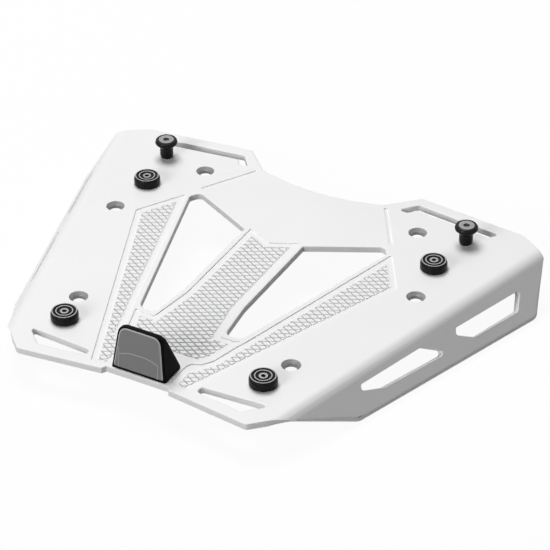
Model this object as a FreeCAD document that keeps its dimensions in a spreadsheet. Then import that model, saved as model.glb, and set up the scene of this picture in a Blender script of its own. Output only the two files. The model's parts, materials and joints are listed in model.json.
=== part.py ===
import FreeCAD, Part
import math
import os
import Sketcher
from FreeCAD import Rotation, Vector

# Top case mounting plate for a motorbike rack, in millimetres.
# The flat of the plate has its top face at z = 0. The line through the two locating studs is
# y = 0, the centre line is x = 0, and the latch block stands at the front edge, towards -Y.

os.makedirs("parts", exist_ok=True)
doc = FreeCAD.newDocument("MountingPlate")
sheet = doc.addObject("Spreadsheet::Sheet", "Sizes")

SIZES = {
    # sheet and outline of the flat
    "sheet_thickness": 5.0,
    "back_notch_half": 52.0,
    "back_notch_y": 18.5,
    "back_arc_radius": 158.0,
    "back_ear_rise": 21.7,
    "back_ear_run": 21.8,
    "back_edge_end": 161.5,
    "back_edge_fall": 10.3,
    "front_reach": 256.0,
    "front_step_half": 24.5,
    "front_step": 3.5,
    "front_step_run": 2.0,
    "wing_corner_half": 90.7,
    "wing_rake": 7.8,
    "corner_round": 4.0,
    "ear_round": 12.0,
    # folded flanges; the places along the fold are measured from the end of the flat
    "splay_angle": 15.26,
    "fold_angle": 56.3,
    "fold_offset": 171.3,
    "bend_radius": 11.0,
    "fold_front_inset": 43.86,
    "bend_front_rake": 17.5,
    "lip_front_rake": 69.1,
    "fold_back": 65.1,
    "bend_back_rake": 2.6,
    "lip_back_rake": 30.5,
    "lip_depth": 39.1,
    "lip_angle": 2.8,
    "lip_corner_round": 7.0,
    "lip_edge_round": 3.5,
    "lip_round_end": 1.0,
    # the two windows of each flange: depth below the fold and place along it
    "flange_bar_along": 51.0,
    "flange_bar_half": 9.0,
    "flange_front_top": 9.6,
    "flange_front_high": 10.8,
    "flange_front_low": 24.2,
    "flange_front_sill": 13.6,
    "flange_front_belly": 20.5,
    "flange_front_margin": 11.8,
    "flange_front_run": 18.1,
    "flange_front_nose": 1.6,
    "flange_rear_top": 12.7,
    "flange_rear_high": 15.1,
    "flange_rear_low": 27.9,
    "flange_rear_belly": 26.6,
    "flange_rear_sill": 17.4,
    "flange_rear_margin": 5.8,
    "flange_rear_low_run": 10.1,
    "flange_rear_belly_run": 13.8,
    "flange_rear_nose": 2.2,
    "flange_window_round": 2.0,
    # the big windows beside the centre
    "window_inner_half": 24.8,
    "window_back_inner": 60.9,
    "window_back_half": 78.0,
    "window_back_outer": 33.5,
    "window_outer_run": 5.2,
    "window_outer_drop": 7.5,
    "window_front_half": 41.2,
    "window_nose_half": 28.6,
    "window_front_inset": 71.0,
    "window_nose_length": 35.0,
    "window_round": 4.0,
    # knurled fields, set back from the windows by a plain rib
    "field_depth": 0.8,
    "field_rib": 4.0,
    "field_rib_slim": 2.2,
    "field_round": 3.0,
    "field_horn_half": 43.2,
    "field_horn_inset": 69.6,
    "field_horn_run": 5.6,
    "field_tip_round": 1.4,
    "field_peak": 69.0,
    "strip_top_half": 87.1,
    "strip_top_y": 39.6,
    "strip_outer_half": 109.5,
    "strip_outer_y": 77.0,
    "strip_tip_half": 38.0,
    "strip_tip_inset": 1.5,
    "strip_foot_half": 23.4,
    "strip_foot_inset": 4.5,
    "strip_foot_length": 21.5,
    "strip_heel_run": 2.1,
    "strip_heel_rise": 4.2,
    "strip_knee_half": 31.5,
    "strip_knee_inset": 32.4,
    "strip_waist_half": 37.2,
    "strip_waist_inset": 40.5,
    "strip_neck_half": 42.6,
    "strip_neck_inset": 61.0,
    "strip_window_rib": 4.9,
    # shallow groove on each side of the bare centre panel
    "groove_width": 3.0,
    "groove_back_half": 54.0,
    "groove_back_y": 14.0,
    "groove_length": 49.3,
    "groove_angle": 59.4,
    # strap slots
    "slot_width": 7.3,
    "slot_back_half": 75.6,
    "slot_back_y": 30.4,
    "slot_end_half": 145.2,
    "slot_end_y": 21.7,
    "slot_end_rake": 5.7,
    "slot_tail_half": 64.8,
    "slot_tail_y": 17.2,
    "slot_tail_length": 7.7,
    "slot_round": 1.8,
    "front_slot_half": 44.5,
    "front_slot_inset": 4.5,
    "front_slot_width": 6.1,
    "front_slot_end_half": 95.5,
    "front_slot_end_inset": 13.8,
    "front_slot_rake": 15.1,
    "front_slot_drop": 14.1,
    "front_slot_round": 2.9,
    # studs
    "stud_spacing": 256.0,
    "stud_height": 15.9,
    "stud_head_radius": 8.7,
    "stud_head_side": 1.8,
    "stud_head_cone": 3.3,
    "stud_crown_radius": 7.6,
    "stud_crown_height": 1.5,
    "stud_neck_radius": 5.2,
    "stud_foot_radius": 4.3,
    "stud_foot_height": 2.2,
    # pads
    "front_pad_half": 79.6,
    "front_pad_inset": 33.2,
    "rear_pad_half": 121.2,
    "rear_pad_y": 41.0,
    "pad_radius": 10.0,
    "pad_height": 7.5,
    "pad_side_height": 5.5,
    "pad_rim_radius": 8.7,
    "pad_ridge_radius": 5.9,
    "pad_groove_depth": 0.7,
    "pad_recess_radius": 3.7,
    "pad_recess_depth": 4.2,
    # fasteners
    "pad_screw_radius": 2.0,
    "pad_screw_head_radius": 3.3,
    "pad_screw_head_height": 3.9,
    "pad_screw_length": 8.0,
    "pad_socket_flats": 3.0,
    "pad_socket_depth": 2.0,
    "stud_screw_radius": 3.0,
    "stud_screw_head_radius": 6.0,
    "stud_socket_flats": 4.6,
    "stud_socket_depth": 2.5,
    "stud_nut_flats": 10.0,
    "stud_nut_height": 6.0,
    "stud_washer_radius": 6.0,
    "stud_washer_thickness": 1.6,
    "thread_end": 1.5,
    "hole_clearance": 0.25,
    "piece_clearance": 0.05,
    # countersunk holes for the rack screws
    "screw_hole_radius": 4.5,
    "countersink_radius": 6.9,
    "front_hole_half": 86.0,
    "front_hole_inset": 61.3,
    "middle_hole_half": 125.7,
    "middle_hole_y": 80.1,
    "rear_hole_half": 90.9,
    "rear_hole_y": 4.4,
    # latch block
    "latch_height": 33.5,
    "latch_half": 21.4,
    "latch_taper": 7.0,
    "latch_setback": 1.3,
    "latch_face_lean": 4.7,
    "latch_top_depth": 5.0,
    "latch_foot_depth": 23.7,
    "latch_shoulder_round": 7.0,
    "latch_edge_chamfer": 0.9,
    "latch_wall": 2.5,
    "latch_face_margin": 3.2,
    "latch_face_thickness": 2.0,
    "latch_face_foot": 1.5,
    "latch_badge_margin": 4.0,
    "latch_badge_foot": 1.5,
    "latch_badge_height": 12.0,
    "latch_badge_taper": 1.5,
    "latch_badge_relief": 0.6,
    "latch_screw_half": 12.0,
    "latch_screw_inset": 12.5,
    "latch_boss_height": 12.0,
    "latch_boss_radius": 4.5,
    "latch_boss_roof": 1.0,
    "latch_screw_length": 15.0,
    "latch_screw_radius": 2.0,
    "latch_screw_head_radius": 4.0,
    "latch_screw_head_height": 2.6,
    "latch_socket_flats": 3.0,
    "latch_socket_depth": 1.5,
}

for row, (alias, number) in enumerate(SIZES.items(), start=1):
    sheet.set(f"A{row}", alias.replace("_", " "))
    sheet.set(f"B{row}", str(number))
    sheet.setAlias(f"B{row}", alias)
doc.recompute()


class Length:
    """A size with the expression that binds it to the sheet and the value it has now."""

    def __init__(self, text, value):
        self.text = text
        self.value = value

    def joined(self, sign, other, value):
        return Length(f"({self.text} {sign} {as_length(other).text})", value)

    def __add__(self, other):
        return self.joined("+", other, self.value + as_length(other).value)

    def __sub__(self, other):
        return self.joined("-", other, self.value - as_length(other).value)

    def __mul__(self, other):
        return self.joined("*", other, self.value * as_length(other).value)

    def __truediv__(self, other):
        return self.joined("/", other, self.value / as_length(other).value)

    def __neg__(self):
        return Length(f"(-1 * {self.text})", -self.value)


def as_length(number):
    return number if isinstance(number, Length) else Length(repr(float(number)), float(number))


def size(alias):
    return Length(f"Sizes.{alias}", float(getattr(sheet, alias)))


def sine(angle):
    return Length(f"sin({angle.text})", math.sin(math.radians(angle.value)))


def cosine(angle):
    return Length(f"cos({angle.text})", math.cos(math.radians(angle.value)))


def tangent(angle):
    return Length(f"tan({angle.text})", math.tan(math.radians(angle.value)))


def bind(thing, path, length):
    thing.setExpression(path, as_length(length).text)


def new_body(label):
    body = doc.addObject("PartDesign::Body", label)
    body.Label = label
    return body


def origin_plane(body, role):
    return next(item for item in body.Origin.OriginFeatures if item.Role == role)


def place(thing, x=0, y=0, z=0):
    for path, length in (("x", x), ("y", y), ("z", z)):
        bind(thing, f"Placement.Base.{path}", length)


def new_sketch(body, name, plane="XY_Plane", height=0):
    sketch = body.newObject("Sketcher::SketchObject", name)
    sketch.AttachmentSupport = (origin_plane(body, plane), [""])
    sketch.MapMode = "FlatFace"
    bind(sketch, "AttachmentOffset.Base.z", height)
    return sketch


def lock_point(sketch, geometry, end, x, y):
    """Hold one point of the sketch at x, y, each bound to the sheet."""
    for kind, axis, length in (("DistanceX", -2, x), ("DistanceY", -1, y)):
        if length.value == 0 and length.text == "0.0":
            sketch.addConstraint(Sketcher.Constraint("PointOnObject", geometry, end, axis))
        else:
            index = sketch.addConstraint(
                Sketcher.Constraint(kind, -1, 1, geometry, end, length.value))
            bind(sketch, f"Constraints[{index}]", length)


def draw_outline(sketch, corners, closing_radius=None):
    """A closed outline with straight sides; the last side may be an arc that bows to -Y."""
    corners = [(as_length(x), as_length(y)) for x, y in corners]
    points = [Vector(x.value, y.value, 0) for x, y in corners]
    first = sketch.GeometryCount
    count = len(points)
    for index in range(count):
        start, end = points[index], points[(index + 1) % count]
        if closing_radius is not None and index == count - 1:
            half = (end - start).Length / 2
            radius = closing_radius.value
            centre = (start + end) / 2 + Vector(0, math.sqrt(radius ** 2 - half ** 2), 0)
            spread = math.asin(half / radius)
            circle = Part.Circle(centre, Vector(0, 0, 1), radius)
            low = -math.pi / 2
            sketch.addGeometry(Part.ArcOfCircle(circle, low - spread, low + spread))
        else:
            sketch.addGeometry(Part.LineSegment(start, end))
    sketch.addConstraint([
        Sketcher.Constraint("Coincident", first + index, 2, first + (index + 1) % count, 1)
        for index in range(count)])
    if closing_radius is not None:
        index = sketch.addConstraint(
            Sketcher.Constraint("Radius", first + count - 1, closing_radius.value))
        bind(sketch, f"Constraints[{index}]", closing_radius)
    for index, (x, y) in enumerate(corners):
        lock_point(sketch, first + index, 1, x, y)


def draw_circle(sketch, x, y, radius):
    x, y, radius = as_length(x), as_length(y), as_length(radius)
    circle = Part.Circle(Vector(x.value, y.value, 0), Vector(0, 0, 1), radius.value)
    geometry = sketch.addGeometry(circle)
    index = sketch.addConstraint(Sketcher.Constraint("Radius", geometry, radius.value))
    bind(sketch, f"Constraints[{index}]", radius)
    lock_point(sketch, geometry, 3, x, y)


def draw_hexagon(sketch, flats):
    """A hexagon round the axis, with two flats along X."""
    half = flats / 2
    side = flats / (2 * math.sqrt(3))
    draw_outline(sketch, [
        (side, half), (side * 2, 0), (side, -half),
        (-side, -half), (-side * 2, 0), (-side, half)])


def mirrored(corners):
    return [(-as_length(x), y) for x, y in reversed(corners)]


def pad(body, sketch, length, reverse=False):
    feature = body.newObject("PartDesign::Pad", sketch.Name + "Pad")
    feature.Profile = sketch
    feature.Reversed = reverse
    bind(feature, "Length", length)
    body.Tip = feature
    doc.recompute()
    return feature


def pocket(body, sketch, length=None, reverse=False):
    """Cut the sketch away, to a depth or right through."""
    before = body.Tip.Shape.Volume
    feature = body.newObject("PartDesign::Pocket", sketch.Name + "Pocket")
    feature.Profile = sketch
    feature.Reversed = reverse
    if length is None:
        feature.Type = "ThroughAll"
    else:
        bind(feature, "Length", length)
    body.Tip = feature
    doc.recompute()
    if feature.Shape.isNull() or not feature.Shape.Volume < before - 0.001:
        raise RuntimeError(f"{feature.Name} cuts nothing: {feature.getStatusString()}")
    return feature


def revolve(body, sketch):
    feature = body.newObject("PartDesign::Revolution", sketch.Name + "Turned")
    feature.Profile = sketch
    feature.ReferenceAxis = (sketch, ["V_Axis"])
    feature.Angle = 360
    body.Tip = feature
    doc.recompute()
    return feature


def edge_names(shape, wanted):
    return [f"Edge{index}" for index, edge in enumerate(shape.Edges, start=1) if wanted(edge)]


def fillet(body, name, radius, wanted):
    base = body.Tip
    names = edge_names(base.Shape, wanted)
    if not names:
        raise RuntimeError(f"no edges for {name}")
    feature = body.newObject("PartDesign::Fillet", name)
    feature.Base = (base, names)
    bind(feature, "Radius", radius)
    body.Tip = feature
    doc.recompute()
    if feature.Shape.isNull():
        raise RuntimeError(f"{name} failed on {names}")
    return feature


def chamfer(body, name, depth, wanted):
    base = body.Tip
    feature = body.newObject("PartDesign::Chamfer", name)
    feature.Base = (base, edge_names(base.Shape, wanted))
    bind(feature, "Size", depth)
    body.Tip = feature
    doc.recompute()
    if feature.Shape.isNull():
        raise RuntimeError(f"{name} failed")
    return feature


def upright_at(corners, reach=0.05):
    """Edges parallel to Z that stand at one of the corners, on either side of the centre."""
    spots = [(abs(as_length(x).value), as_length(y).value) for x, y in corners]

    def wanted(edge):
        box = edge.BoundBox
        if box.ZLength < 0.1 or box.XLength > reach or box.YLength > reach:
            return False
        x, y = abs(box.Center.x), box.Center.y
        return any(math.hypot(x - sx, y - sy) < reach for sx, sy in spots)

    return wanted


def turned(label, profile):
    """A turned piece: its profile is radius and height, from the axis outwards."""
    body = new_body(label)
    sketch = new_sketch(body, label + "Profile", "XZ_Plane")
    draw_outline(sketch, profile)
    revolve(body, sketch)
    return body


thickness = size("sheet_thickness")
underside = -thickness
hole_clearance = size("hole_clearance")
clearance = size("piece_clearance")

front_edge = -size("front_reach")
wing_front = front_edge - size("front_step")
window_front = front_edge + size("window_front_inset")
splay = size("splay_angle")
bend_run = size("bend_radius") * tangent(size("fold_angle") / 2)
fold_front = size("front_reach") / cosine(splay) - size("fold_front_inset")
bend_front = -fold_front + size("bend_front_rake")
bend_back = size("fold_back") - size("bend_back_rake")
lip_front = -fold_front + size("lip_front_rake")
lip_back = size("fold_back") - size("lip_back_rake")

stud_half = size("stud_spacing") / 2
pad_places = [
    (size("front_pad_half"), front_edge + size("front_pad_inset")),
    (size("rear_pad_half"), -size("rear_pad_y")),
]
rack_hole_places = [
    (size("front_hole_half"), front_edge + size("front_hole_inset")),
    (size("middle_hole_half"), -size("middle_hole_y")),
    (size("rear_hole_half"), -size("rear_hole_y")),
]


def on_fold_line(along):
    """The point of the flat where the bend starts, at a distance along the fold."""
    out = size("fold_offset") - bend_run
    return (out * cosine(splay) + along * sine(splay), along * cosine(splay) - out * sine(splay))


# The flat of the plate
def flat_outline():
    ear_x = size("back_notch_half") + size("back_ear_run")
    ear_y = size("back_notch_y") + size("back_ear_rise")
    return [
        (size("back_notch_half"), size("back_notch_y")),
        (ear_x, ear_y),
        (size("back_edge_end"), ear_y - size("back_edge_fall")),
        on_fold_line(size("fold_back")),
        on_fold_line(-fold_front),
        (size("wing_corner_half"), wing_front - size("wing_rake")),
        (size("front_step_half") + size("front_step_run"), wing_front),
        (size("front_step_half"), front_edge),
    ]


def window_outline():
    """The big opening beside the centre, wide at the back and narrow at the front."""
    inner = size("window_inner_half")
    back = size("window_back_outer")
    return [
        (inner, -size("window_back_inner")),
        (size("window_back_half"), -back),
        (size("window_back_half") + size("window_outer_run"), -back - size("window_outer_drop")),
        (size("window_front_half"), window_front),
        (size("window_nose_half"), window_front),
        (inner, window_front + size("window_nose_length")),
    ]


def strip_neck():
    """The inner edge of the strip in front of the opening, from its foot to its neck."""
    return [
        (size("strip_knee_half"), front_edge + size("strip_knee_inset")),
        (size("strip_waist_half"), front_edge + size("strip_waist_inset")),
        (size("strip_neck_half"), front_edge + size("strip_neck_inset")),
    ]


def strip_outline():
    """The knurled strip from the back down the outer side of the opening to the front."""
    foot = size("strip_foot_half")
    foot_top = front_edge + size("strip_foot_inset") + size("strip_foot_length")
    return [
        (size("strip_top_half"), -size("strip_top_y")),
        (size("strip_outer_half"), -size("strip_outer_y")),
        (size("strip_tip_half"), front_edge + size("strip_tip_inset")),
        (foot, front_edge + size("strip_foot_inset")),
        (foot, foot_top),
        (foot + size("strip_heel_run"), foot_top + size("strip_heel_rise")),
        *strip_neck(),
        (size("window_front_half") + size("strip_window_rib"), window_front),
    ]


def centre_field():
    """The knurled field between the openings, wider in front of them, with a horn at each side."""
    rib = size("field_rib")
    slim = size("field_rib_slim")
    inner = size("window_inner_half") - rib
    front = window_front - rib
    horn = size("field_horn_half")
    knee, waist, neck = strip_neck()
    return [
        (inner, -size("window_back_inner") + slim),
        (inner, window_front + size("window_nose_length") - slim),
        (size("window_nose_half") - slim, front),
        (horn - size("field_horn_run"), front),
        (horn, front_edge + size("field_horn_inset")),
        (neck[0] - slim, neck[1]),
        (waist[0] - slim, waist[1] + slim),
        (knee[0] - slim, knee[1] + slim),
        (size("strip_foot_half"), knee[1]),
    ]


def back_slot():
    """A long bent slot behind the stud, with a short tail towards the centre."""
    width = size("slot_width")
    tail = size("slot_tail_half")
    tail_end = tail + size("slot_tail_length")
    end = size("slot_end_half")
    back = (size("slot_back_half"), size("slot_back_y"))
    slope = (size("slot_back_y") - size("slot_end_y")) / (end - back[0])
    near = tail_end + size("slot_tail_length") / 2
    return [
        back,
        (end, size("slot_end_y")),
        (end - size("slot_end_rake"), size("slot_end_y") + size("slot_end_rake") * slope - width),
        (near, back[1] - (near - back[0]) * slope - width),
        (tail_end, size("slot_tail_y")),
        (tail, size("slot_tail_y")),
    ]


def front_slot():
    """The strap slot beside the latch, wider towards the outside."""
    half = size("front_slot_half")
    low = front_edge + size("front_slot_inset")
    end = size("front_slot_end_half")
    end_y = front_edge + size("front_slot_end_inset")
    return [
        (half, low + size("front_slot_width")),
        (end, end_y),
        (end - size("front_slot_rake"), end_y - size("front_slot_drop")),
        (half, low),
    ]


def groove_outline():
    x, y = size("groove_back_half"), size("groove_back_y")
    across, down = sine(size("groove_angle")), cosine(size("groove_angle"))
    width, length = size("groove_width"), size("groove_length")
    return [
        (x, y),
        (x + across * width, y + down * width),
        (x + across * width + down * length, y + down * width - across * length),
        (x + down * length, y - across * length),
    ]


def make_flat():
    body = new_body("Flat")
    sketch = new_sketch(body, "FlatOutline")
    right = flat_outline()
    draw_outline(sketch, right + mirrored(right), size("back_arc_radius"))
    pad(body, sketch, thickness, reverse=True)
    fillet(body, "EarRounds", size("corner_round"), upright_at([right[1], right[5]]))
    fillet(body, "BackRounds", size("ear_round"), upright_at([right[2]]))

    sketch = new_sketch(body, "Windows")
    window = window_outline()
    draw_outline(sketch, window)
    draw_outline(sketch, mirrored(window))
    pocket(body, sketch)
    fillet(body, "WindowBackRounds", size("window_round"), upright_at(window[1:3]))
    fillet(body, "WindowFrontRounds", size("window_round") * 2, upright_at([window[3]]))
    fillet(body, "WindowInnerRounds", size("window_round") * 1.4, upright_at([window[4]]))

    sketch = new_sketch(body, "Slots")
    for slot in (back_slot(), front_slot()):
        draw_outline(sketch, slot)
        draw_outline(sketch, mirrored(slot))
    pocket(body, sketch)
    back, front = back_slot(), front_slot()
    fillet(body, "SlotRounds", size("slot_round"), upright_at(back[:3] + back[4:] + front[1:3]))
    fillet(body, "SlotEnds", size("front_slot_round"), upright_at([front[0], front[3]]))

    sketch = new_sketch(body, "Fields")
    strip = strip_outline()
    centre = centre_field()
    draw_outline(sketch, strip)
    draw_outline(sketch, mirrored(strip))
    draw_outline(sketch, [(0, -size("field_peak"))] + centre + mirrored(centre))
    pocket(body, sketch, size("field_depth"))
    fillet(body, "FieldRounds", size("field_round"), upright_at([centre[2], strip[1]]))
    fillet(body, "FieldTips", size("field_tip_round"), upright_at([centre[4], strip[0]]))

    sketch = new_sketch(body, "Grooves")
    draw_outline(sketch, groove_outline())
    draw_outline(sketch, mirrored(groove_outline()))
    pocket(body, sketch, size("field_depth"))

    sketch = new_sketch(body, "PieceHoles")
    pad_hole = size("pad_screw_radius") + clearance
    for side in (1, -1):
        draw_circle(sketch, stud_half * side, 0, size("stud_screw_radius") + hole_clearance)
        for half, y in pad_places:
            draw_circle(sketch, half * side, y, pad_hole)
        draw_circle(sketch, size("latch_screw_half") * side, latch_screw_y,
                    size("latch_screw_radius") + hole_clearance)
    pocket(body, sketch)

    sketch = new_sketch(body, "RackHoles")
    for side in (1, -1):
        for half, y in rack_hole_places:
            draw_circle(sketch, half * side, y, size("screw_hole_radius"))
    doc.recompute()
    hole = body.newObject("PartDesign::Hole", "Countersinks")
    hole.Profile = sketch
    hole.ThreadType = "None"
    bind(hole, "Diameter", size("screw_hole_radius") * 2)
    hole.HoleCutType = "Countersink"
    bind(hole, "HoleCutDiameter", size("countersink_radius") * 2)
    hole.HoleCutCountersinkAngle = 90
    hole.DepthType = "ThroughAll"
    body.Tip = hole
    doc.recompute()
    return body


# One folded side, in a frame whose Y axis is the sharp fold line and whose X axis points out
def flange_outline():
    """Distance down the flange, and distance along the fold."""
    def lip(along):
        return size("lip_depth") + along * tangent(size("lip_angle"))

    return [
        (bend_run, bend_front),
        (lip(lip_front), lip_front),
        (lip(lip_back), lip_back),
        (bend_run, bend_back),
    ]


def front_flange_window():
    back = -size("flange_bar_along") - size("flange_bar_half")
    front = lip_front + size("flange_front_margin")
    run = size("flange_front_run")
    return [
        (size("flange_front_top"), front),
        (size("flange_front_high"), back - run),
        (size("flange_front_low") - size("flange_rear_nose"), back),
        (size("flange_front_low"), back - size("flange_rear_nose") * 2),
        (size("flange_front_belly"), front + run),
        (size("flange_front_sill"), front - size("flange_front_nose")),
    ]


def rear_flange_window():
    front = -size("flange_bar_along") + size("flange_bar_half")
    back = lip_back - size("flange_rear_margin")
    return [
        (size("flange_rear_top"), front),
        (size("flange_rear_high"), back),
        (size("flange_rear_low"), back - size("flange_rear_low_run")),
        (size("flange_rear_belly"), front + size("flange_rear_belly_run")),
        (size("flange_rear_sill"), front - size("flange_rear_nose")),
    ]


def make_flange():
    body = new_body("Flange")
    body.Placement.Rotation = Rotation(Vector(0, 1, 0), 1)
    bind(body, "Placement.Rotation.Angle", size("fold_angle"))
    sketch = new_sketch(body, "FlangeOutline")
    corners = flange_outline()
    draw_outline(sketch, corners)
    pad(body, sketch, thickness, reverse=True)
    fillet(body, "LipCorners", size("lip_corner_round"), upright_at(corners[1:3]))
    sketch = new_sketch(body, "FlangeWindows")
    openings = (front_flange_window(), rear_flange_window())
    for opening in openings:
        draw_outline(sketch, opening)
    pocket(body, sketch)
    fillet(body, "FlangeWindowRounds", size("flange_window_round"),
           upright_at(openings[0] + openings[1]))
    return round_lip(body, corners)


def round_lip(body, corners):
    """Rounds the lip's outer edge; along both ends of the flange the round runs out to the fold."""
    full, small = size("lip_edge_round").value, size("lip_round_end").value
    corner_round = size("lip_corner_round").value
    near = 0.05
    front, lip_start, lip_end, back = [Vector(x.value, y.value, 0) for x, y in corners]
    runs = [(front, lip_start, small, full), (lip_start, lip_end, full, full), (lip_end, back, full, small)]
    outer = [(number, edge) for number, edge in enumerate(body.Tip.Shape.Edges, start=1)
             if abs(edge.CenterOfMass.z) < near]
    rows = []
    for start, end, first, last in runs:
        for number, edge in outer:
            if edge.CenterOfMass.distanceToLine(start, end - start) < near:
                rows.append((number, first, last))
    for number, edge in outer:
        if isinstance(edge.Curve, Part.Circle) and abs(edge.Curve.Radius - corner_round) < near:
            rows.append((number, full, full))
    rounded = doc.addObject("Part::Fillet", "LipEdge")
    rounded.Base = body
    rounded.Edges = rows
    doc.recompute()
    if rounded.Shape.isNull() or len(rows) != 5:
        raise RuntimeError(f"LipEdge failed on {rows}")
    return rounded


def swept_end(start, end, side):
    """The tool that cuts one end of the bend, along a straight line of the unfolded sheet."""
    sweep = size("fold_angle").value
    radius = size("bend_radius").value
    centre = Vector(-bend_run.value, 0, -radius)
    rails = []
    for reach in (radius - 2 * thickness.value, radius + thickness.value):
        points = []
        for step in range(-1, 8):
            share = step / 6
            angle = math.radians(sweep * share)
            along = start + (end - start) * share
            points.append(centre + Vector(reach * math.sin(angle), along, reach * math.cos(angle)))
        curve = Part.BSplineCurve()
        curve.interpolate(points)
        rails.append(curve.toShape())
    face = Part.makeRuledSurface(rails[0], rails[1])
    return face.extrude(Vector(0, side * (abs(end - start) + radius * 2), 0))


def make_bend():
    """The round of the fold: the sheet's section swept through the fold angle."""
    radius = size("bend_radius").value
    centre = Vector(-bend_run.value, 0, -radius)
    front = -fold_front.value
    back = size("fold_back").value
    margin = thickness.value
    section = Part.makePolygon([
        Vector(centre.x, front - margin, 0),
        Vector(centre.x, back + margin, 0),
        Vector(centre.x, back + margin, -thickness.value),
        Vector(centre.x, front - margin, -thickness.value),
        Vector(centre.x, front - margin, 0)])
    block = Part.Face(section).revolve(centre, Vector(0, 1, 0), size("fold_angle").value)
    block = block.cut(swept_end(front, bend_front.value, -1))
    block = block.cut(swept_end(back, bend_back.value, 1))
    bend = doc.addObject("Part::Feature", "Bend")
    bend.Shape = block
    return bend


def make_plate():
    flat = make_flat()
    wing = doc.addObject("Part::Fuse", "RightWing")
    wing.Base = make_bend()
    wing.Tool = make_flange()
    wing.Placement.Rotation = Rotation(Vector(0, 0, 1), 1)
    bind(wing, "Placement.Rotation.Angle", -splay)
    place(wing, size("fold_offset") * cosine(splay), -(size("fold_offset") * sine(splay)))
    other = doc.addObject("Part::Mirroring", "LeftWing")
    other.Source = wing
    other.Normal = Vector(1, 0, 0)
    plate = doc.addObject("Part::MultiFuse", "mounting_plate")
    plate.Shapes = [flat, wing, other]
    plate.Refine = True
    plate.Label = "mounting_plate"
    doc.recompute()
    return plate


# Rubber pads that the case stands on, each held by a socket screw in a tapped hole of the plate
def pad_profile():
    radius = size("pad_radius")
    top = size("pad_height")
    groove = top - size("pad_groove_depth")
    rim = size("pad_rim_radius")
    ridge = size("pad_ridge_radius")
    recess = size("pad_recess_radius")
    floor = top - size("pad_recess_depth")
    bore = size("pad_screw_radius") + clearance
    return [
        (bore, 0),
        (radius, 0),
        (radius, size("pad_side_height")),
        (rim, top),
        ((rim + ridge) / 2, groove),
        (ridge, top),
        (recess, groove),
        (recess, floor),
        (bore, floor),
    ]


def socket_screw(label, radius, length, head_radius, head_height, flats, depth):
    """A cap screw whose head stands on z = 0, with a hexagon socket in its top."""
    screw = turned(label, [
        (0, -length), (radius, -length), (radius, 0),
        (head_radius, 0), (head_radius, head_height), (0, head_height)])
    sketch = new_sketch(screw, label + "Socket", height=head_height)
    draw_hexagon(sketch, flats)
    pocket(screw, sketch, depth)
    return screw


def make_pads():
    seat = size("pad_height") - size("pad_recess_depth")
    for row, (half, y) in zip(("front", "rear"), pad_places):
        for side, x in (("right", half), ("left", -half)):
            label = f"{row}_{side}_pad"
            place(turned(label, pad_profile()), x, y)
            place(socket_screw(
                label + "_screw", size("pad_screw_radius"), size("pad_screw_length"),
                size("pad_screw_head_radius"), size("pad_screw_head_height"),
                size("pad_socket_flats"), size("pad_socket_depth")), x, y, seat)


# The two mushroom studs that the case hooks over, each on a countersunk screw and a lock nut
def stud_profile():
    top = size("stud_height")
    crown = top - size("stud_crown_height")
    head_low = crown - size("stud_head_side")
    head = size("stud_head_radius")
    bore = size("stud_screw_radius") + clearance
    sink = size("stud_screw_head_radius") + clearance
    return [
        (bore, 0),
        (size("stud_foot_radius"), 0),
        (size("stud_neck_radius"), size("stud_foot_height")),
        (size("stud_neck_radius"), head_low - size("stud_head_cone")),
        (head, head_low),
        (head, crown),
        (size("stud_crown_radius"), top),
        (sink, top),
        (bore, top - sink + bore),
    ]


def stud_screw(label):
    """A countersunk screw whose top face is at z = 0, with a hexagon socket."""
    radius = size("stud_screw_radius")
    head = size("stud_screw_head_radius")
    length = size("stud_height") - nut_under + size("thread_end")
    screw = turned(label, [
        (0, -length), (radius, -length), (radius, radius - head), (head, 0), (0, 0)])
    sketch = new_sketch(screw, label + "Socket")
    draw_hexagon(sketch, size("stud_socket_flats"))
    pocket(screw, sketch, size("stud_socket_depth"))
    return screw


def washer(label, bore, radius, depth):
    return turned(label, [(bore, 0), (radius, 0), (radius, -depth), (bore, -depth)])


def lock_nut(label, flats, height, bore):
    body = new_body(label)
    sketch = new_sketch(body, label + "Hexagon")
    draw_hexagon(sketch, flats)
    draw_circle(sketch, 0, 0, bore)
    pad(body, sketch, height, reverse=True)
    return body


def make_studs():
    for side, x in (("right", stud_half), ("left", -stud_half)):
        label = f"{side}_stud"
        place(turned(label, stud_profile()), x)
        place(stud_screw(label + "_screw"), x, 0, size("stud_height"))
        place(washer(label + "_washer", size("stud_screw_radius") + hole_clearance,
                     size("stud_washer_radius"), size("stud_washer_thickness")), x, 0, underside)
        place(lock_nut(label + "_nut", size("stud_nut_flats"), size("stud_nut_height"),
                       size("stud_screw_radius") + clearance), x, 0, washer_under)


# The latch block: a hollow moulding on the front edge, screwed on from below
def latch_side(wall=0, front_wall=0, roof=0):
    """The block, or its hollow, seen from the side as y and height."""
    top = size("latch_height")
    slope = (size("latch_foot_depth") - size("latch_face_lean") - size("latch_top_depth")) / top
    ridge = latch_front + size("latch_face_lean") + size("latch_top_depth")
    foot = latch_front + size("latch_foot_depth")
    return [
        (latch_front + front_wall, 0),
        (latch_front + size("latch_face_lean") + front_wall, top - roof),
        (ridge - wall + slope * roof, top - roof),
        (foot - wall, 0),
    ]


def on_leaning_face(body, name):
    """A sketch on the block's front face, which leans back."""
    sketch = new_sketch(body, name, "XZ_Plane", -latch_front)
    sketch.AttachmentOffset.Rotation = Rotation(Vector(1, 0, 0), -1)
    bind(sketch, "AttachmentOffset.Rotation.Angle", -latch_lean)
    return sketch


def face_outline(gap=0):
    """The inset front panel, wider at its foot."""
    margin = size("latch_face_margin") + gap
    foot = size("latch_half") - margin
    top = size("latch_height") - margin
    head = foot - top * tangent(size("latch_taper"))
    return [(foot, size("latch_face_foot") + gap), (head, top), (-head, top),
            (-foot, size("latch_face_foot") + gap)]


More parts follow.
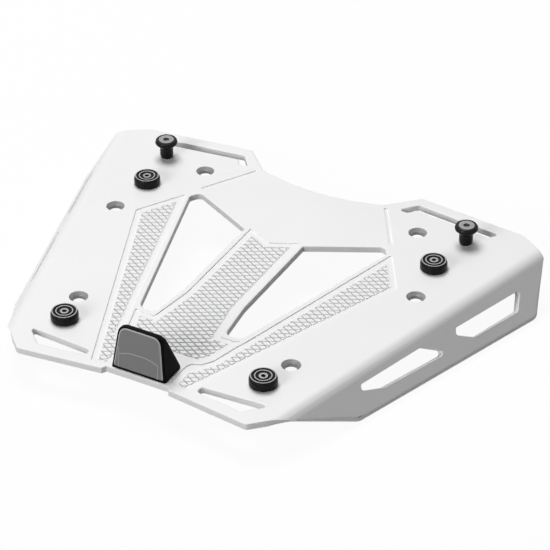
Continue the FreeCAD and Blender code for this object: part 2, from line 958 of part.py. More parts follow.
def make_latch_block():
    body = new_body("latch_block")
    half, height, taper = size("latch_half"), size("latch_height"), size("latch_taper")
    sketch = new_sketch(body, "BlockFront", "XZ_Plane", -latch_front)
    top_half = half - height * tangent(taper)
    draw_outline(sketch, [(half, 0), (top_half, height), (-top_half, height), (-half, 0)])
    pad(body, sketch, size("latch_foot_depth"), reverse=True)
    fillet(body, "ShoulderRounds", size("latch_shoulder_round"),
           lambda edge: edge.BoundBox.ZMin > height.value - 0.1 and edge.BoundBox.XLength < 0.1)

    sketch = new_sketch(body, "BlockWedges", "YZ_Plane")
    foot, brow, ridge, heel = latch_side()
    sky = height + thickness
    front_out, back_out = foot[0] - thickness, heel[0] + thickness
    draw_outline(sketch, [foot, brow, (brow[0], sky), (front_out, sky), (front_out, 0)])
    draw_outline(sketch, [heel, ridge, (ridge[0], sky), (back_out, sky), (back_out, 0)])
    wedges = body.newObject("PartDesign::Pocket", "WedgesPocket")
    wedges.Profile = sketch
    wedges.Type = "ThroughAll"
    wedges.Midplane = True
    body.Tip = wedges
    doc.recompute()
    chamfer(body, "RidgeBevel", size("latch_edge_chamfer"),
            lambda edge: edge.CenterOfMass.z > height.value / 4)

    sketch = new_sketch(body, "BlockHollow", "YZ_Plane")
    wall = size("latch_wall")
    draw_outline(sketch, latch_side(wall, wall + size("latch_face_thickness"), wall * 2))
    pocket(body, sketch, (top_half - wall) * 2).Midplane = True
    doc.recompute()

    sketch = new_sketch(body, "Bosses")
    for side in (1, -1):
        draw_circle(sketch, size("latch_screw_half") * side, latch_screw_y,
                    size("latch_boss_radius"))
    pad(body, sketch, size("latch_boss_height"))
    sketch = new_sketch(body, "PilotHoles")
    for side in (1, -1):
        draw_circle(sketch, size("latch_screw_half") * side, latch_screw_y,
                    size("latch_screw_radius") + clearance)
    pocket(body, sketch, size("latch_boss_height") - size("latch_boss_roof"), reverse=True)

    sketch = on_leaning_face(body, "FacePocket")
    draw_outline(sketch, face_outline())
    pocket(body, sketch, size("latch_face_thickness"))
    return body


def make_latch_face():
    """The inset front panel, with a raised plain badge field in its lower half."""
    body = new_body("latch_face")
    sketch = on_leaning_face(body, "FaceOutline")
    draw_outline(sketch, face_outline(clearance))
    pad(body, sketch, size("latch_face_thickness") - clearance, reverse=True)
    foot = size("latch_face_foot") + size("latch_badge_foot")
    top = foot + size("latch_badge_height")
    half = size("latch_half") - size("latch_face_margin") - size("latch_badge_margin")
    top_half = half - size("latch_badge_taper")
    sketch = on_leaning_face(body, "BadgeField")
    draw_outline(sketch, [(half, foot), (top_half, top), (-top_half, top), (-half, foot)])
    pad(body, sketch, size("latch_badge_relief"))
    return body


def make_latch_screws():
    """Screws up through the sheet into the bosses, with their heads below it."""
    for side, x in (("right", size("latch_screw_half")), ("left", -size("latch_screw_half"))):
        screw = socket_screw(
            f"latch_screw_{side}", size("latch_screw_radius"), size("latch_screw_length"),
            size("latch_screw_head_radius"), size("latch_screw_head_height"),
            size("latch_socket_flats"), size("latch_socket_depth"))
        screw.Placement.Rotation = Rotation(Vector(1, 0, 0), 180)
        place(screw, x, latch_screw_y, underside)


latch_front = front_edge + size("latch_setback")
latch_screw_y = latch_front + size("latch_screw_inset")
latch_lean_run = size("latch_face_lean") / size("latch_height")
latch_lean = Length(f"atan({latch_lean_run.text})", math.degrees(math.atan(latch_lean_run.value)))
washer_under = underside - size("stud_washer_thickness")
nut_under = washer_under - size("stud_nut_height")

make_plate()
make_pads()
make_studs()
make_latch_block()
make_latch_face()
make_latch_screws()
doc.recompute()

nodes = [item for item in doc.Objects
         if item.Label.islower() and item.isDerivedFrom("Part::Feature")
         and item.TypeId in ("PartDesign::Body", "Part::MultiFuse")]
for item in doc.Objects:
    if {"Invalid", "Error"} & set(item.State):
        raise RuntimeError(f"{item.Name} failed: {item.State}")
for node in nodes:
    if node.Shape.isNull() or not node.Shape.isValid():
        raise RuntimeError(f"{node.Label} has no valid shape")
for node in nodes:
    node.Shape.exportStep(f"parts/{node.Label}.step")
    box = node.Shape.BoundBox
    print(node.Label, len(node.Shape.Solids), round(node.Shape.Volume, 1),
          [round(value, 1) for value in (box.XMin, box.XMax, box.YMin, box.YMax, box.ZMin, box.ZMax)])
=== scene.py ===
import json
import math

import bmesh
import bpy
from mathutils import Matrix, Vector


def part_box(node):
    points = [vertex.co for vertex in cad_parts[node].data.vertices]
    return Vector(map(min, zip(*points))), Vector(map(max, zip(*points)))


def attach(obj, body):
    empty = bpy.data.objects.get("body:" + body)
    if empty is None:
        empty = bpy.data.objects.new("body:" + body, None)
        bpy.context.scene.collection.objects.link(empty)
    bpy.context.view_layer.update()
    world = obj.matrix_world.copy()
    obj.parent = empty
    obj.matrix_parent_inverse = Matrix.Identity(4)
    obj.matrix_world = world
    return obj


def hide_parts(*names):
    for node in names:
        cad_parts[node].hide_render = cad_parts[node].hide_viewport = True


# Top case mounting plate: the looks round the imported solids
# Metres, +Z up, the latch block towards -Y

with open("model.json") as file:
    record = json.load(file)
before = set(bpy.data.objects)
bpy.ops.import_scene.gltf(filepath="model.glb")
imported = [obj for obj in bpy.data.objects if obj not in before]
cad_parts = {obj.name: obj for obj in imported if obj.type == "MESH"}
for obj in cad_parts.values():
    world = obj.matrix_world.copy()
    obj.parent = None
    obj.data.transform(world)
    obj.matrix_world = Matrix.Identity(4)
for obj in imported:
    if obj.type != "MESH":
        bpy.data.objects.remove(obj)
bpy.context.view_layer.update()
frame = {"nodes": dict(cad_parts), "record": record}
nodes = frame["nodes"]
scene = bpy.context.scene
print("frame loaded:", len(nodes), "nodes")


shell = {
    "mergeWithin": 2e-6,
    "flatWithin": 0.6,         # degrees, up to which two faces become one
    "sharpFrom": 28,           # degrees, from which an edge gets a round
    "level": 1e-5,             # heights this near count as the same
}


def newPiece(name, mesh, slot, replaced=()):
    piece = bpy.data.objects.new(name, mesh)
    scene.collection.objects.link(piece)
    piece["slotName"] = slot
    piece["replaced"] = list(replaced)
    return piece


def declare(piece):
    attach(piece, "root")
    for node in piece["replaced"]:
        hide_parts(node)


def dress(thing, material):
    thing.data.materials.clear()
    thing.data.materials.append(material)


def meshFrom(bm, name):
    mesh = bpy.data.meshes.new(name)
    bm.to_mesh(mesh)
    bm.free()
    return mesh


def mergedCopy(node):
    # the node's loose triangles joined to one shell, with its flat faces whole again
    bm = bmesh.new()
    bm.from_mesh(nodes[node].data)
    bmesh.ops.remove_doubles(bm, verts=bm.verts, dist=shell["mergeWithin"])
    bmesh.ops.dissolve_limit(bm, angle_limit=math.radians(shell["flatWithin"]),
                             verts=bm.verts, edges=bm.edges)
    return bm


def bridge(bm, loops):
    # a closed band of quads from each loop of points to the next
    count = len(loops[0])
    for low, high in zip(loops, loops[1:]):
        for k in range(count):
            after = (k + 1) % count
            bm.faces.new((low[k], low[after], high[after], high[k]))


def bakeModifiers(piece):
    depsgraph = bpy.context.evaluated_depsgraph_get()
    mesh = bpy.data.meshes.new_from_object(piece.evaluated_get(depsgraph))
    old = piece.data
    piece.modifiers.clear()
    piece.data = mesh
    mesh.name = piece.name
    bpy.data.meshes.remove(old)


def roundEdges(piece, width, segments=3, byWeight=False):
    piece.data.shade_smooth()
    rounder = piece.modifiers.new("edgeRound", "BEVEL")
    rounder.width = width
    rounder.segments = segments
    rounder.limit_method = "WEIGHT" if byWeight else "ANGLE"
    rounder.angle_limit = math.radians(shell["sharpFrom"])
    rounder.use_clamp_overlap = not byWeight
    rounder.miter_outer = "MITER_ARC"
    evener = piece.modifiers.new("evenNormals", "WEIGHTED_NORMAL")
    evener.keep_sharp = True
    bakeModifiers(piece)


def keepInside(piece, node):
    # no rounding may stand proud of the solid's own box
    low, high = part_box(node)
    for vert in piece.data.vertices:
        vert.co = [min(max(c, a), b) for c, a, b in zip(vert.co, low, high)]


def softBends(piece, angle):
    # smooth shading that still breaks at real edges
    mesh = piece.data
    mesh.shade_smooth()
    mesh.set_sharp_from_angle(angle=math.radians(angle))


def noise(tree, place, scale, detail, stretch=None):
    if stretch:
        mapping = tree.nodes.new("ShaderNodeMapping")
        mapping.inputs["Scale"].default_value = stretch
        tree.links.new(place, mapping.inputs["Vector"])
        place = mapping.outputs["Vector"]
    texture = tree.nodes.new("ShaderNodeTexNoise")
    texture.inputs["Scale"].default_value = scale
    texture.inputs["Detail"].default_value = detail
    tree.links.new(place, texture.inputs["Vector"])
    return texture.outputs["Fac"]


def ramp(tree, factor, stops):
    node = tree.nodes.new("ShaderNodeValToRGB")
    for element, (position, colour) in zip(node.color_ramp.elements, stops):
        element.position = position
        element.color = (*colour, 1)
    tree.links.new(factor, node.inputs["Fac"])
    return node.outputs["Color"]


def spread(tree, factor, low, high):
    node = tree.nodes.new("ShaderNodeMapRange")
    node.inputs["To Min"].default_value = low
    node.inputs["To Max"].default_value = high
    tree.links.new(factor, node.inputs["Value"])
    return node.outputs["Result"]


def bump(tree, shader, height, strength, distance):
    node = tree.nodes.new("ShaderNodeBump")
    node.inputs["Strength"].default_value = strength
    node.inputs["Distance"].default_value = distance
    tree.links.new(height, node.inputs["Height"])
    tree.links.new(node.outputs["Normal"], shader.inputs["Normal"])


def grey(tone):
    return (tone, tone, tone)


def steelLook(dark, light):
    return {"cloud": (700, 4), "tone": ((0.3, grey(dark)), (0.7, grey(light))),
            "rough": (0.35, 0.5), "metallic": 0.8}


def plasticLook(dark, light, rough, specular):
    return {"cloud": (1500, 4), "tone": ((0.3, grey(dark)), (0.75, grey(light))),
            "rough": rough, "specular": specular, "bump": (0.15, 0.00005)}


# cloud, gloss and grain are noises: scale, detail and sometimes a stretch
# tone follows the cloud, rough the gloss and bump the grain, or the cloud where none is given
looks = {
    "blastedAluminium": {
        "cloud": (9, 2), "tone": ((0.3, (0.87, 0.87, 0.875)), (0.7, (0.90, 0.90, 0.90))),
        "gloss": (1800, 4), "rough": (0.42, 0.56), "metallic": 0.08, "specular": 0.2,
        "grain": (1800, 4), "bump": (0.12, 0.00006)},
    "paintedGrooveShade": {           # painted shade: the bottoms of the pressed lattice get a dark colour for the shade in the grooves
        "cloud": (900, 3), "tone": ((0.3, (0.32, 0.32, 0.325)), (0.7, (0.44, 0.44, 0.445))),
        "rough": (0.5, 0.65)},
    "turnedCone": {            # bare metal left by the countersink, with its turning marks
        "cloud": (260, 3, (1, 1, 9)),
        "tone": ((0.3, (0.22, 0.22, 0.225)), (0.7, (0.38, 0.38, 0.385))),
        "rough": (0.28, 0.42), "metallic": 0.3, "bump": (0.2, 0.00008)},
    "mouldedRubber": {
        "cloud": (300, 3), "tone": ((0.35, grey(0.006)), (0.7, grey(0.012))),
        "rough": (0.24, 0.34), "specular": 0.1, "grain": (2600, 2), "bump": (0.08, 0.00004)},
    # painted highlight on the pads' ridges
    "paintedHighlightRubber": {
        "cloud": (900, 3), "tone": ((0.3, grey(0.40)), (0.7, grey(0.55))), "rough": (0.4, 0.55)},
    "blackCoat": {
        "cloud": (500, 3), "tone": ((0.35, grey(0.006)), (0.7, grey(0.013))),
        "rough": (0.20, 0.30), "specular": 0.12},
    "blackOxide": steelLook(0.02, 0.05),
    # painted highlight on the tops of the pad screws' heads
    "paintedHighlightSteel": steelLook(0.19, 0.28),
    "dullZinc": steelLook(0.20, 0.28),
    "zincPlate": steelLook(0.5, 0.66),
    "latchPlastic": plasticLook(0.003, 0.006, (0.45, 0.57), 0.03),
    "latchFacePlastic": plasticLook(0.22, 0.255, (0.50, 0.62), 0.3),
    # painted highlight on the upper rim of the latch face and on the raised line round the pull
    "latchPaintedHighlight": plasticLook(0.42, 0.50, (0.40, 0.52), 0.4),
}
lookOf = {
    "plate_aluminium": "blastedAluminium",
    "pad_rubber": "mouldedRubber",
    "stud_black": "blackCoat",
    "pad_screw_black": "blackOxide",
    "stud_screw_steel": "dullZinc",
    "zinc_steel": "zincPlate",
    "latch_plastic": "latchPlastic",
    "latch_face_plastic": "latchFacePlastic",
}


def newMaterial(name):
    material = bpy.data.materials.new(name)
    material.use_nodes = True
    tree = material.node_tree
    return material, tree, tree.nodes["Principled BSDF"]


def makeFinish(name):
    look = looks[name]
    material, tree, shader = newMaterial(name)
    place = tree.nodes.new("ShaderNodeTexCoord").outputs["Object"]
    made = {}

    def field(use):
        settings = look.get(use, look["cloud"])
        if settings not in made:
            made[settings] = noise(tree, place, *settings)
        return made[settings]

    tree.links.new(ramp(tree, field("cloud"), look["tone"]), shader.inputs["Base Color"])
    tree.links.new(spread(tree, field("gloss"), *look["rough"]), shader.inputs["Roughness"])
    shader.inputs["Metallic"].default_value = look.get("metallic", 0.0)
    shader.inputs["Specular IOR Level"].default_value = look.get("specular", 0.5)
    if "bump" in look:
        bump(tree, shader, field("grain"), *look["bump"])
    return material


finish = {name: makeFinish(name) for name in looks}
slotFinish = {slot: finish[name] for slot, name in lookOf.items()}
slotOf = {row["node"]: row["material_slot"] for row in frame["record"]["subparts"]}
for node, thing in nodes.items():
    dress(thing, slotFinish[slotOf[node]])
print("materials ready:", len(finish))


plate = {
    "sheet": 0.005,
    "edgeRound": 0.0009,       # outline, windows and slots on the top face
    "stepShare": 0.25,         # share of that round on the shallow steps
    "slantShare": 0.15,        # share of it beside the slanted walls of the countersinks
    "otherShare": 0.35,        # share of it on the edges below and on the flanges
    "fieldDepth": 0.0008,
    "stepReach": 1.5,          # walls within this many field depths are steps
    "flatFrom": 0.98,          # upward share of its normal that makes a face flat, not a wall
    "slantFrom": 0.1,          # and the share that makes a wall slanted
    "coneBelow": 0.95,         # in a rack hole, faces that rise less than this are bare
    "plainSpots": [(0.1843, 0.0140, -0.0050), (0.1396, -0.1990, -0.0290),
                   (0.1137, -0.2460, -0.0050)],
    "plainReach": 0.003,       # edges this near a plain spot stay as they are
    "rackHoles": [(0.0860, -0.1947), (0.1257, -0.0801), (0.0909, -0.0044)],
    "rackHoleRim": 0.0072,
}


def isPlain(edge):
    spots = [Vector(spot) for spot in plate["plainSpots"]]
    ends = [Vector((abs(vert.co.x), vert.co.y, vert.co.z)) for vert in edge.verts]
    return any((end - spot).length < plate["plainReach"] for end in ends for spot in spots)


def roundShare(edge):
    heights = [vert.co.z for vert in edge.verts]
    onTop = max(abs(z) for z in heights) < shell["level"]
    walls = [face for face in edge.link_faces if abs(face.normal.z) < plate["flatFrom"]]
    lowest = min((vert.co.z for face in walls for vert in face.verts), default=0)
    slanted = any(abs(face.normal.z) > plate["slantFrom"] for face in walls)
    if lowest > -plate["stepReach"] * plate["fieldDepth"]:
        return plate["stepShare"]
    if onTop and not slanted:
        return 1.0
    inCone = slanted and min(heights) > -plate["sheet"] - shell["level"]
    if onTop or inCone:
        return plate["slantShare"]
    return plate["otherShare"]


def makePlate():
    bm = mergedCopy("mounting_plate")
    weight = bm.edges.layers.float.new("bevel_weight_edge")
    sharp = math.radians(shell["sharpFrom"])
    for edge in bm.edges:
        if len(edge.link_faces) == 2 and edge.calc_face_angle(0) >= sharp and not isPlain(edge):
            edge[weight] = roundShare(edge)
    mesh = meshFrom(bm, "plateShell")
    piece = newPiece("plateShell", mesh, "plate_aluminium", ["mounting_plate"])
    dress(piece, finish["blastedAluminium"])
    roundEdges(piece, plate["edgeRound"], byWeight=True)
    keepInside(piece, "mounting_plate")
    piece.data.materials.append(finish["turnedCone"])
    holes = [Vector(hole) for hole in plate["rackHoles"]]
    for face in piece.data.polygons:
        place = Vector((abs(face.center.x), face.center.y))
        inHole = any((place - hole).length < plate["rackHoleRim"] for hole in holes)
        if inHole and abs(face.normal.z) < plate["coneBelow"]:
            face.material_index = 1
    return piece


knurl = {
    "cellLength": 0.0091,
    "cellWidth": 0.0052,
    "gap": 0.17,               # share of a cell left as groove
    "height": 0.00065,
    "topShare": 0.82,          # width of a diamond's crown against its foot
    "crownPower": 14,          # a higher one keeps the crown flat nearer to its edge
    "rings": 3,                # rings of faces up a diamond's side
    "footBelow": 0.01,         # share of the height up to which a point is on the floor
    "margin": 0.0048,          # plain band inside each field's step
    "frontMargin": 0.0020,     # and along the plate's front edge
    "frontFrom": -0.2450,      # sides in front of this lie along that edge
    "acrossFrom": 0.9,         # share of X in a side's direction that makes it run across
    "shortEdge": 0.007,        # sides shorter than this are corner rounds
    "oneLine": 0.9998,         # cosine from which two sides count as one line
    # the sheet of painted shade in the grooves: its inset and half thickness
    "shadeSheetInset": 0.0004,
    "shadeSheetHalf": 0.00003,
}


def fieldOutlines():
    # the outlines of the recessed fields; a floor with four corners is a plain groove's
    bm = mergedCopy("mounting_plate")
    floors = [face for face in bm.faces if face.normal.z > plate["flatFrom"]
              and abs(face.calc_center_median().z + plate["fieldDepth"]) < shell["level"]]
    inside = set(floors)
    rim = [edge for edge in bm.edges if sum(face in inside for face in edge.link_faces) == 1]
    after = {}
    for edge in rim:
        face = next(face for face in edge.link_faces if face in inside)
        loop = next(loop for loop in face.loops if loop.edge == edge)
        after[loop.vert] = loop.link_loop_next.vert
    outlines = []
    while after:
        start, vert = next(iter(after.items()))
        chain = [start.co.copy()]
        after.pop(start)
        while vert is not start:
            chain.append(vert.co.copy())
            vert = after.pop(vert)
        outlines.append([point.to_2d() for point in chain])
    bm.free()
    return [outline for outline in outlines if len(outline) > 4]


def insetOutline(points, extra=0.0):
    # every long side moved inwards, meeting its neighbours again at the corners
    lines = []
    for index, start in enumerate(points):
        side = points[(index + 1) % len(points)] - start
        if side.length <= knurl["shortEdge"]:
            continue
        along = side.normalized()
        runsAcross = abs(along.x) > knurl["acrossFrom"]
        atFront = runsAcross and start.y + side.y / 2 < knurl["frontFrom"]
        inwards = (knurl["frontMargin"] if atFront else knurl["margin"]) + extra
        lines.append((start + Vector((-along.y, along.x)) * inwards, along))
    merged = []
    for start, along in lines:
        if not merged or merged[-1][1].dot(along) <= knurl["oneLine"]:
            merged.append((start, along))
    if merged[0][1].dot(merged[-1][1]) > knurl["oneLine"]:
        merged.pop()
    corners = []
    for index, (start, along) in enumerate(merged):
        before, beforeAlong = merged[index - 1]
        cross = beforeAlong.x * along.y - beforeAlong.y * along.x
        offset = start - before
        reach = (offset.x * along.y - offset.y * along.x) / cross
        corners.append(before + beforeAlong * reach)
    return corners


def slabMesh(outlines, low, high):
    bm = bmesh.new()
    for outline in outlines:
        face = bm.faces.new([bm.verts.new((point.x, point.y, low)) for point in outline])
        top = bmesh.ops.extrude_face_region(bm, geom=[face])["geom"]
        verts = [item for item in top if isinstance(item, bmesh.types.BMVert)]
        bmesh.ops.translate(bm, verts=verts, vec=(0, 0, high - low))
    bmesh.ops.recalc_face_normals(bm, faces=bm.faces)
    return meshFrom(bm, "knurlFields")


def knurlTree(material):
    tree = bpy.data.node_groups.new("knurlRows", "GeometryNodeTree")
    sockets = tree.interface
    sockets.new_socket("Fields", in_out="INPUT", socket_type="NodeSocketGeometry")
    for label in ("Cell Length", "Cell Width", "Gap", "Height", "Floor"):
        sockets.new_socket(label, in_out="INPUT", socket_type="NodeSocketFloat")
    sockets.new_socket("Knurl", in_out="OUTPUT", socket_type="NodeSocketGeometry")
    add, link = tree.nodes.new, tree.links.new
    given = add("NodeGroupInput").outputs
    result = add("NodeGroupOutput")

    def feed(inputs, values):
        for socket, value in zip(inputs, values):
            if isinstance(value, (int, float)):
                socket.default_value = value
            else:
                link(value, socket)

    def maths(operation, first, second=0.0):
        node = add("ShaderNodeMath")
        node.operation = operation
        feed(node.inputs, (first, second))
        return node.outputs[0]

    def vectorMaths(operation, first, second):
        node = add("ShaderNodeVectorMath")
        node.operation = operation
        feed(node.inputs, (first, second))
        return node.outputs[0]

    def combine(x, y, z=0.0):
        node = add("ShaderNodeCombineXYZ")
        feed(node.inputs, (x, y, z))
        return node.outputs[0]

    def split(vector):
        node = add("ShaderNodeSeparateXYZ")
        link(vector, node.inputs[0])
        return node.outputs

    halfLength = maths("MULTIPLY", given["Cell Length"], 0.5)
    halfWidth = maths("MULTIPLY", given["Cell Width"], 0.5)

    # a lattice of points over the fields' box, and the same again half a cell further
    box = add("GeometryNodeBoundBox")
    link(given["Fields"], box.inputs["Geometry"])
    spans = split(vectorMaths("SUBTRACT", box.outputs["Max"], box.outputs["Min"]))
    sums = split(vectorMaths("ADD", box.outputs["Max"], box.outputs["Min"]))
    lattice = add("GeometryNodeMeshGrid")
    for axis, cell in (("X", "Cell Length"), ("Y", "Cell Width")):
        count = maths("CEIL", maths("DIVIDE", spans[axis], given[cell]))
        link(maths("ADD", count, 1), lattice.inputs["Vertices " + axis])
        link(maths("MULTIPLY", count, given[cell]), lattice.inputs["Size " + axis])
    second = add("GeometryNodeTransform")
    link(lattice.outputs["Mesh"], second.inputs["Geometry"])
    link(combine(halfLength, halfWidth), second.inputs["Translation"])
    both = add("GeometryNodeJoinGeometry")
    link(lattice.outputs["Mesh"], both.inputs[0])
    link(second.outputs[0], both.inputs[0])
    placed = add("GeometryNodeTransform")
    link(both.outputs[0], placed.inputs["Geometry"])
    middle = combine(maths("MULTIPLY", sums["X"], 0.5), maths("MULTIPLY", sums["Y"], 0.5),
                     given["Floor"])
    link(middle, placed.inputs["Translation"])

    # one raised diamond with a soft crown
    cone = add("GeometryNodeMeshCone")
    cone.inputs["Vertices"].default_value = 4
    cone.inputs["Side Segments"].default_value = knurl["rings"]
    cone.inputs["Radius Top"].default_value = knurl["topShare"]
    cone.inputs["Radius Bottom"].default_value = 1.0
    cone.inputs["Depth"].default_value = 1.0
    parts = split(add("GeometryNodeInputPosition").outputs[0])
    reach = maths("ADD", maths("ABSOLUTE", parts["X"]), maths("ABSOLUTE", parts["Y"]))
    crown = maths("SUBTRACT", 1.0, maths("POWER", reach, knurl["crownPower"]))
    offFloor = maths("SUBTRACT", 1.0, maths("LESS_THAN", parts["Z"], knurl["footBelow"]))
    crowned = add("GeometryNodeSetPosition")
    link(cone.outputs["Mesh"], crowned.inputs["Geometry"])
    link(combine(parts["X"], parts["Y"], maths("MULTIPLY", crown, offFloor)),
         crowned.inputs["Position"])

    # a diamond on every point, trimmed to the fields
    keep = maths("SUBTRACT", 1.0, given["Gap"])
    size = combine(maths("MULTIPLY", halfLength, keep), maths("MULTIPLY", halfWidth, keep),
                   given["Height"])
    spreadOut = add("GeometryNodeInstanceOnPoints")
    link(placed.outputs[0], spreadOut.inputs["Points"])
    link(crowned.outputs[0], spreadOut.inputs["Instance"])
    link(size, spreadOut.inputs["Scale"])
    real = add("GeometryNodeRealizeInstances")
    link(spreadOut.outputs[0], real.inputs[0])
    trim = add("GeometryNodeMeshBoolean")
    trim.operation = "INTERSECT"
    trim.solver = "MANIFOLD"
    link(real.outputs[0], trim.inputs["Mesh 2"])
    link(given["Fields"], trim.inputs["Mesh 2"])
    paint = add("GeometryNodeSetMaterial")
    paint.inputs["Material"].default_value = material
    link(trim.outputs["Mesh"], paint.inputs["Geometry"])
    link(paint.outputs[0], result.inputs[0])
    return tree


def makeKnurl():
    floor = -plate["fieldDepth"]
    outlines = [insetOutline(outline) for outline in fieldOutlines()]
    print("knurled fields:", [len(outline) for outline in outlines])
    deep = knurl["height"]     # the slab starts below the floor and reaches past the diamonds
    mesh = slabMesh(outlines, floor - deep, floor + 2 * deep)
    piece = newPiece("knurledFields", mesh, "plate_aluminium")
    material = finish["blastedAluminium"]
    tree = knurlTree(material)
    rows = piece.modifiers.new("knurlRows", "NODES")
    rows.node_group = tree
    values = {"Cell Length": knurl["cellLength"], "Cell Width": knurl["cellWidth"],
              "Gap": knurl["gap"], "Height": knurl["height"], "Floor": floor}
    for item in tree.interface.items_tree:
        if item.name in values:
            rows[item.identifier] = values[item.name]
    bakeModifiers(piece)
    dress(piece, material)
    print("knurl faces:", len(piece.data.polygons))
    return piece


def makeGrooveShadeSheet():
    # a thin sheet of painted shade below the diamonds, just inside the outline that cuts them
    floor = -plate["fieldDepth"]
    outlines = [insetOutline(outline, knurl["shadeSheetInset"]) for outline in fieldOutlines()]
    mesh = slabMesh(outlines, floor - knurl["shadeSheetHalf"], floor + knurl["shadeSheetHalf"])
    piece = newPiece("knurlGrooveShadeSheet", mesh, "plate_aluminium")
    dress(piece, finish["paintedGrooveShade"])
    return piece


turning = {
    "segments": 96,
    "cornerSteps": 4,
    "cornerReach": 0.45,       # most of a side that the round of one corner may take
    "mergeWithin": 1e-7,
    "sharpFrom": 40,
    "topFrom": 0.55,           # upward share of its normal that puts a face on top
}


def cornerArc(start, corner, end, steps):
    points = []
    for step in range(steps + 1):
        share = step / steps
        points.append((1 - share) ** 2 * start + 2 * share * (1 - share) * corner
                      + share ** 2 * end)
    return points


def softened(profile, radius):
    # a turned outline with each corner rounded
    points = [Vector(point) for point in profile]
    most = turning["cornerReach"]
    result = [points[0]]
    for before, corner, after in zip(points, points[1:], points[2:]):
        reach = min(radius, (corner - before).length * most, (after - corner).length * most)
        start = corner + (before - corner).normalized() * reach
        end = corner + (after - corner).normalized() * reach
        result += cornerArc(start, corner, end, turning["cornerSteps"])
    result.append(points[-1])
    return result


def roundSize(node):
    # the middle of a turned node's foot, its radius and its height
    low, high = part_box(node)
    return ((low.x + high.x) / 2, (low.y + high.y) / 2, low.z), (high.x - low.x) / 2, high.z - low.z


def turnedPiece(name, profile, centre, slot, replaced):
    # profile runs from the bottom up the outside and down the bore, as radius and height
    count = turning["segments"]
    turns = [2 * math.pi * k / count for k in range(count)]
    bm = bmesh.new()
    rings = []
    for radius, height in profile:
        rings.append([bm.verts.new((centre[0] + radius * math.cos(turn),
                                    centre[1] + radius * math.sin(turn),
                                    centre[2] + height)) for turn in turns])
    bridge(bm, rings + rings[:1])
    bmesh.ops.remove_doubles(bm, verts=bm.verts, dist=turning["mergeWithin"])
    bmesh.ops.recalc_face_normals(bm, faces=bm.faces)
    piece = newPiece(name, meshFrom(bm, name), slot, replaced)
    dress(piece, slotFinish[slot])
    softBends(piece, turning["sharpFrom"])
    return piece


def paleRidges(piece, centre, rings, height, pale):
    # painted highlight on the tops of ridges, each ring given as radius and half width
    piece.data.materials.append(finish[pale])
    for face in piece.data.polygons:
        reach = (Vector(face.center[:2]) - Vector(centre[:2])).length
        onTop = face.center.z > height and face.normal.z > turning["topFrom"]
        if onTop and any(abs(reach - radius) < half for radius, half in rings):
            face.material_index = 1


padForm = {
    "edge": 0.0006,
    "rim": 0.0087,
    "ridge": 0.0059,
    "ridgeHalf": 0.0004,
    "grooveStart": 0.0012,     # from the middle of a ridge to the bottom of its groove
    "grooveDepth": 0.0008,
    "footInset": 0.0005,
    "footHeight": 0.0010,
    "sideHeight": 0.0052,
    "recess": 0.0037,
    "recessDepth": 0.0042,
    "bore": 0.00205,
    "rimPale": 0.00036,        # half width of the painted highlight on the rim
    "paleFrom": 0.0003,        # height above the groove from which a ridge gets the painted highlight
}


def makePad(node):
    centre, radius, top = roundSize(node)
    p = padForm
    groove, start = top - p["grooveDepth"], p["grooveStart"]
    rim, ridge, half = p["rim"], p["ridge"], p["ridgeHalf"]
    profile = [
        (p["bore"], 0), (radius - p["footInset"], 0), (radius, p["footHeight"]),
        (radius, p["sideHeight"]), (rim + half, top), (rim - half, top),
        (rim - start, groove), (ridge + start, groove), (ridge + half, top), (ridge - half, top),
        (ridge - start, groove), (p["recess"], groove), (p["recess"], top - p["recessDepth"]),
        (p["bore"], top - p["recessDepth"])]
    outline = softened(profile, p["edge"])
    piece = turnedPiece(node + "Rubber", outline, centre, "pad_rubber", [node])
    # the tops of the rim and the ridge get a painted highlight
    paleRidges(piece, centre, [(rim, p["rimPale"]), (ridge, half)],
               groove + centre[2] + p["paleFrom"], "paintedHighlightRubber")
    return piece


studForm = {
    "edge": 0.0008,
    "foot": 0.0043,
    "footHeight": 0.0022,
    "neck": 0.0052,
    "coneLow": 0.0093,
    "coneHigh": 0.0126,
    "crownLow": 0.0144,
    "crown": 0.0076,
    "sink": 0.00605,
    "bore": 0.00305,
}


def makeStud(node):
    centre, radius, top = roundSize(node)
    s = studForm
    profile = [
        (s["bore"], 0), (s["foot"], 0), (s["neck"], s["footHeight"]), (s["neck"], s["coneLow"]),
        (radius, s["coneHigh"]), (radius, s["crownLow"]), (s["crown"], top), (s["sink"], top),
        (s["bore"], top - s["sink"] + s["bore"])]
    outline = softened(profile, s["edge"])
    return turnedPiece(node + "Body", outline, centre, "stud_black", [node])


screwForm = {
    "padRound": 0.0003,
    "studRound": 0.00025,
    "paintedHighlightDepth": 0.00045,    # where the painted highlight starts, down from the top of a pad's screw
}


def makeScrew(node, width):
    slot = slotOf[node]
    mesh = meshFrom(mergedCopy(node), node + "Shell")
    piece = newPiece(node + "Shell", mesh, slot, [node])
    dress(piece, slotFinish[slot])
    roundEdges(piece, width)
    return piece


def makePadScrew(node):
    # the black head gets a painted highlight on top, round its socket
    piece = makeScrew(node, screwForm["padRound"])
    centre, radius, top = roundSize(node)
    paleRidges(piece, centre, [(0, radius)], centre[2] + top - screwForm["paintedHighlightDepth"],
               "paintedHighlightSteel")
    return piece


